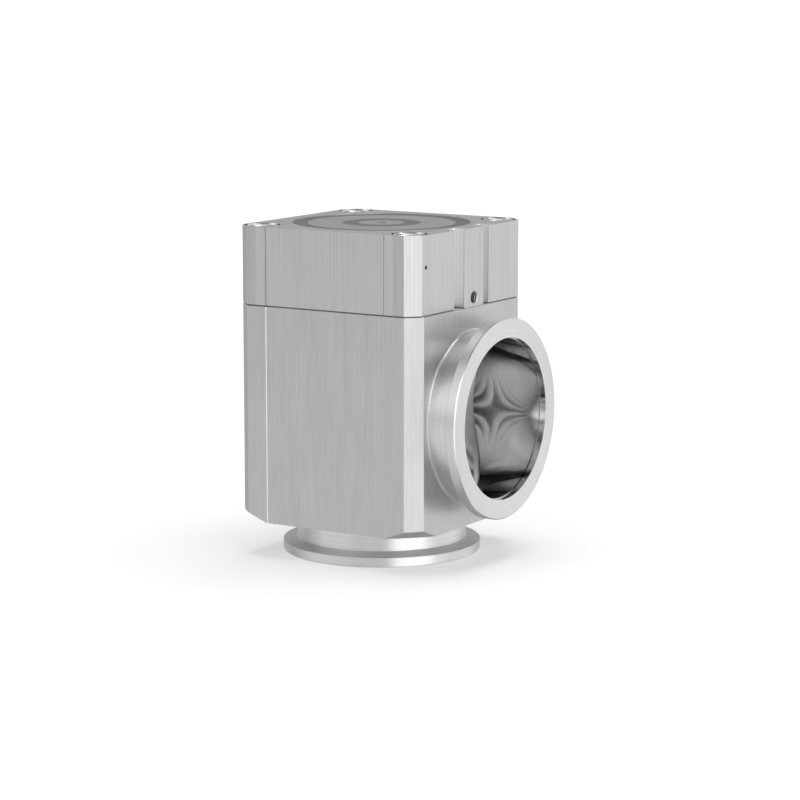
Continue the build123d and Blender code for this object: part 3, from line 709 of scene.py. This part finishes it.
class VALVE_OT_pilot_thread(bpy.types.Operator):
    """Meshes the thread in the pilot port"""

    bl_idname = "valve.pilot_thread"
    bl_label = "Pilot thread"

    def execute(self, context):
        # Aluminium, tapped, coloured dark grey: painted shade inside the port. The ridge gives bright
        # crests with dark between them
        made = speckled("Aluminium, tapped, painted shade", "#7C7D7D", "#A2A3A3", 0.3, 0.45, 0.3)
        pitch = context.scene.valve_sizes.thread_pitch
        turns = int((PILOT_DEPTH - MM) / pitch)
        per_turn = 32
        start = 0.5 * MM
        crest = PILOT_RADIUS - 0.4 * MM
        root = PILOT_RADIUS + 0.05 * MM

        def build_ridge(build):
            rings_of = []
            for k in range(turns * per_turn + 1):
                turn = 2 * math.pi * k / per_turn
                depth = start + pitch * k / per_turn
                fade = min(1.0, k / per_turn * 2, (turns * per_turn - k) / per_turn * 2)
                top = root + (crest - root) * fade
                ring = []
                for along, reach in ((-0.45, root), (-0.08, top), (0.08, top), (0.45, root)):
                    out = Vector((-depth - along * pitch, reach * math.cos(turn), reach * math.sin(turn)))
                    ring.append(PILOT_CENTRE + out)
                rings_of.append(ring)
            tube_rings(build, rings_of)

        piece = mesh_piece("pilot_thread", made, "housing", build_ridge)
        return {"FINISHED"}


class VALVE_OT_stage(bpy.types.Operator):
    """Makes the floor, the world, the lamps and the camera"""

    bl_idname = "valve.stage"
    bl_label = "Studio"

    def execute(self, context):
        scene = context.scene
        scene.view_settings.view_transform = "Standard"
        # Light comes out of the polished bores only after many reflections
        scene.cycles.glossy_bounces = 10
        self.floor()
        self.world(scene)
        self.lamps()
        self.camera(scene)
        return {"FINISHED"}

    def floor(self):
        data = bpy.data.meshes.new("floor")
        build = bmesh.new()
        bmesh.ops.create_grid(build, x_segments=1, y_segments=1, size=30.0)
        build.to_mesh(data)
        build.free()
        made = bpy.data.objects.new("floor", data)
        bpy.context.scene.collection.objects.link(made)
        # A hair below the flange, so that the two faces don't coincide
        made.location.z = cad_low.z - 0.02 * MM
        # Acrylic sheet, satin: its own glow keeps it white to the camera but for the shadow near the valve,
        # and polished metal sees the room's light in it
        material, tree, shader = new_finish(
            "Acrylic sheet, satin", Base_Color=linear("#E6E6E6"), Emission_Color=linear("#FFFFFF")
        )
        shader.inputs["Specular IOR Level"].default_value = 0.0
        path = add_node(tree, "ShaderNodeLightPath").outputs
        sheen = add_node(tree, MATH, {0: path["Is Glossy Ray"], 1: FLOOR_SHEEN}, operation="MULTIPLY")
        tree.links.new(result(sheen), shader.inputs["Metallic"])
        rough = {"Factor": path["Is Glossy Ray"], "A": 0.9, "B": 0.25}
        rough = add_node(tree, MIX, rough, data_type="FLOAT")
        tree.links.new(result(rough), shader.inputs["Roughness"])
        point = place(tree)[0]
        away = axis_radius(tree, point, (0, 0, 0), (1, 1, 0))
        seen = {"Value": away, "From Min": GLOW_START, "From Max": GLOW_END}
        seen = add_node(tree, RANGE, {**seen, "To Min": GLOW_NEAR, "To Max": GLOW_FAR})
        seen = add_node(tree, MATH, {0: seen, 1: path["Is Camera Ray"]}, operation="MULTIPLY")
        for ray in ("Is Glossy Ray", "Is Transmission Ray"):
            lift = add_node(tree, MATH, {0: path[ray], 1: GLOW_REFLECTED}, operation="MULTIPLY")
            seen = add_node(tree, MATH, {0: seen, 1: lift}, operation="ADD")
        tree.links.new(result(seen), shader.inputs["Emission Strength"])
        data.materials.append(material)

    def world(self, scene):
        world = bpy.data.worlds.new("studio")
        scene.world = world
        world.use_nodes = True
        tree = world.node_tree
        back = tree.nodes["Background"]
        path = add_node(tree, "ShaderNodeLightPath").outputs
        look = add_node(tree, "ShaderNodeTexCoord").outputs["Generated"]
        light = 0.0
        for azimuth, elevation, half_width, gain in ROOM_SIDES:
            pair = {0: look, 1: toward(azimuth, elevation)}
            facing = add_node(tree, VECTOR, pair, operation="DOT_PRODUCT").outputs["Value"]
            edge = math.cos(math.radians(half_width))
            side = {"Value": facing, "From Min": edge, "From Max": 1.0, "To Max": gain}
            side = add_node(tree, RANGE, side, interpolation_type="SMOOTHSTEP")
            light = add_node(tree, MATH, {0: side, 1: light}, operation="ADD")
        shown = {"Factor": path["Is Camera Ray"], "A": light, "B": 1.0}
        shown = add_node(tree, MIX, shown, data_type="FLOAT")
        back.inputs["Color"].default_value = linear("#FFFFFF")
        tree.links.new(result(shown), back.inputs["Strength"])

    def lamps(self):
        # The lamps look at the middle of the valve
        aim = Vector((0, 0, 70 * MM))
        for name, azimuth, elevation, distance, width, height, watts, mirrored in LAMPS:
            spot = aim + toward(azimuth, elevation) * distance
            data = bpy.data.lights.new(name, "AREA")
            data.shape = "RECTANGLE"
            data.size = width
            data.size_y = height
            data.energy = watts
            made = bpy.data.objects.new(name, data)
            made.visible_glossy = mirrored
            bpy.context.scene.collection.objects.link(made)
            made.location = spot
            made.rotation_mode = "QUATERNION"
            made.rotation_quaternion = (aim - spot).to_track_quat("-Z", "Y")

    def camera(self, scene):
        data = bpy.data.cameras.new("camera")
        data.sensor_width = SENSOR_WIDTH
        data.lens = SENSOR_WIDTH * FOCAL_PIXELS / FRAME_PIXELS
        data.clip_start = 0.01
        data.clip_end = 100.0
        made = bpy.data.objects.new("camera", data)
        scene.collection.objects.link(made)
        made.location = CAMERA_PLACE
        made.rotation_mode = "QUATERNION"
        made.rotation_quaternion = CAMERA_VIEW.to_track_quat("-Z", "Y")
        scene.camera = made


class VALVE_PT_panel(bpy.types.Panel):
    """Lists the valve's pieces"""

    bl_idname = "VALVE_PT_panel"
    bl_label = "Vacuum valve"
    bl_space_type = "VIEW_3D"
    bl_region_type = "UI"
    bl_category = "Vacuum valve"

    def draw(self, context):
        for step in STEPS:
            self.layout.operator(step.bl_idname)


STEPS = (
    VALVE_OT_block,
    VALVE_OT_bonnet,
    VALVE_OT_label,
    VALVE_OT_screws,
    VALVE_OT_inner_metal,
    VALVE_OT_seals,
    VALVE_OT_bellows,
    VALVE_OT_spring,
    VALVE_OT_pilot_thread,
    VALVE_OT_stage,
)
CLASSES = (ValveFinish, ValveSizes, *STEPS, VALVE_PT_panel)


def register():
    for item in CLASSES:
        bpy.utils.register_class(item)
    bpy.types.Scene.valve_finish = bpy.props.PointerProperty(type=ValveFinish)
    bpy.types.Scene.valve_sizes = bpy.props.PointerProperty(type=ValveSizes)


def unregister():
    del bpy.types.Scene.valve_sizes
    del bpy.types.Scene.valve_finish
    for item in reversed(CLASSES):
        bpy.utils.unregister_class(item)


def main():
    register()
    for step in STEPS:
        group, name = step.bl_idname.split(".")
        getattr(getattr(bpy.ops, group), name)()


if __name__ == "__main__":
    main()
